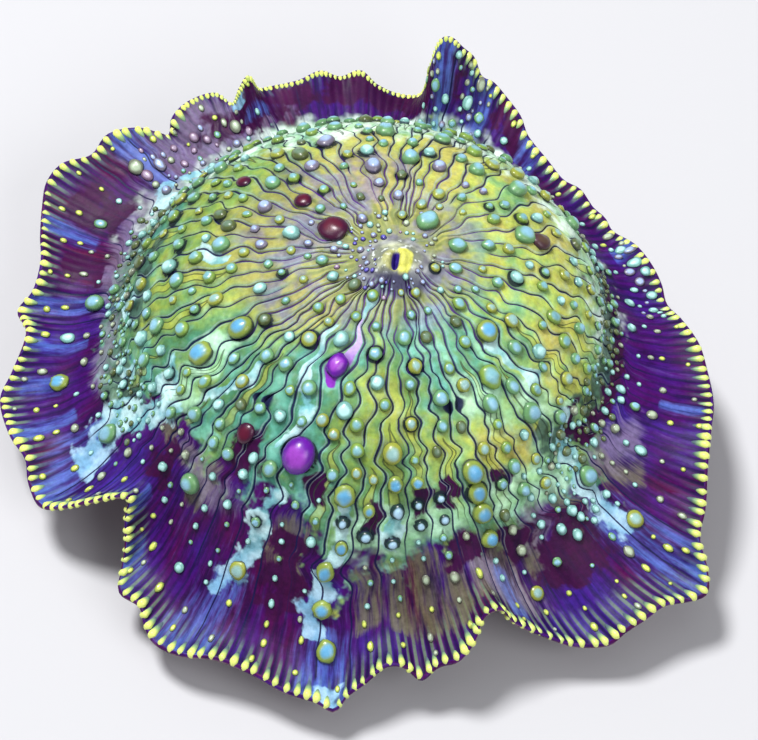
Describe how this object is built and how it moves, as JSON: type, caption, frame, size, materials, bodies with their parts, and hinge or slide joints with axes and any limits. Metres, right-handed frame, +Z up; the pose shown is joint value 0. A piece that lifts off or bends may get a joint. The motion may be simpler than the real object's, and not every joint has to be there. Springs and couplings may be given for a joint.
{
  "type": "mushroom coral",
  "caption": "Soft mushroom coral polyp: a furrowed dome with a small mouth cone, a frilled beaded skirt and a short column cut off flat.",
  "frame": {"origin": "centre of the flat cut foot, on the column's axis", "axes": "+Z up through the mouth, +Y towards the side where the skirt stands up behind the dome, +X to the side of the mouth"},
  "size_m": [0.0808, 0.0767, 0.0315],
  "materials": {
    "flesh": "satin"
  },
  "bodies": {
    "root": {"polyp": "flesh"}
  },
  "joints": []
}
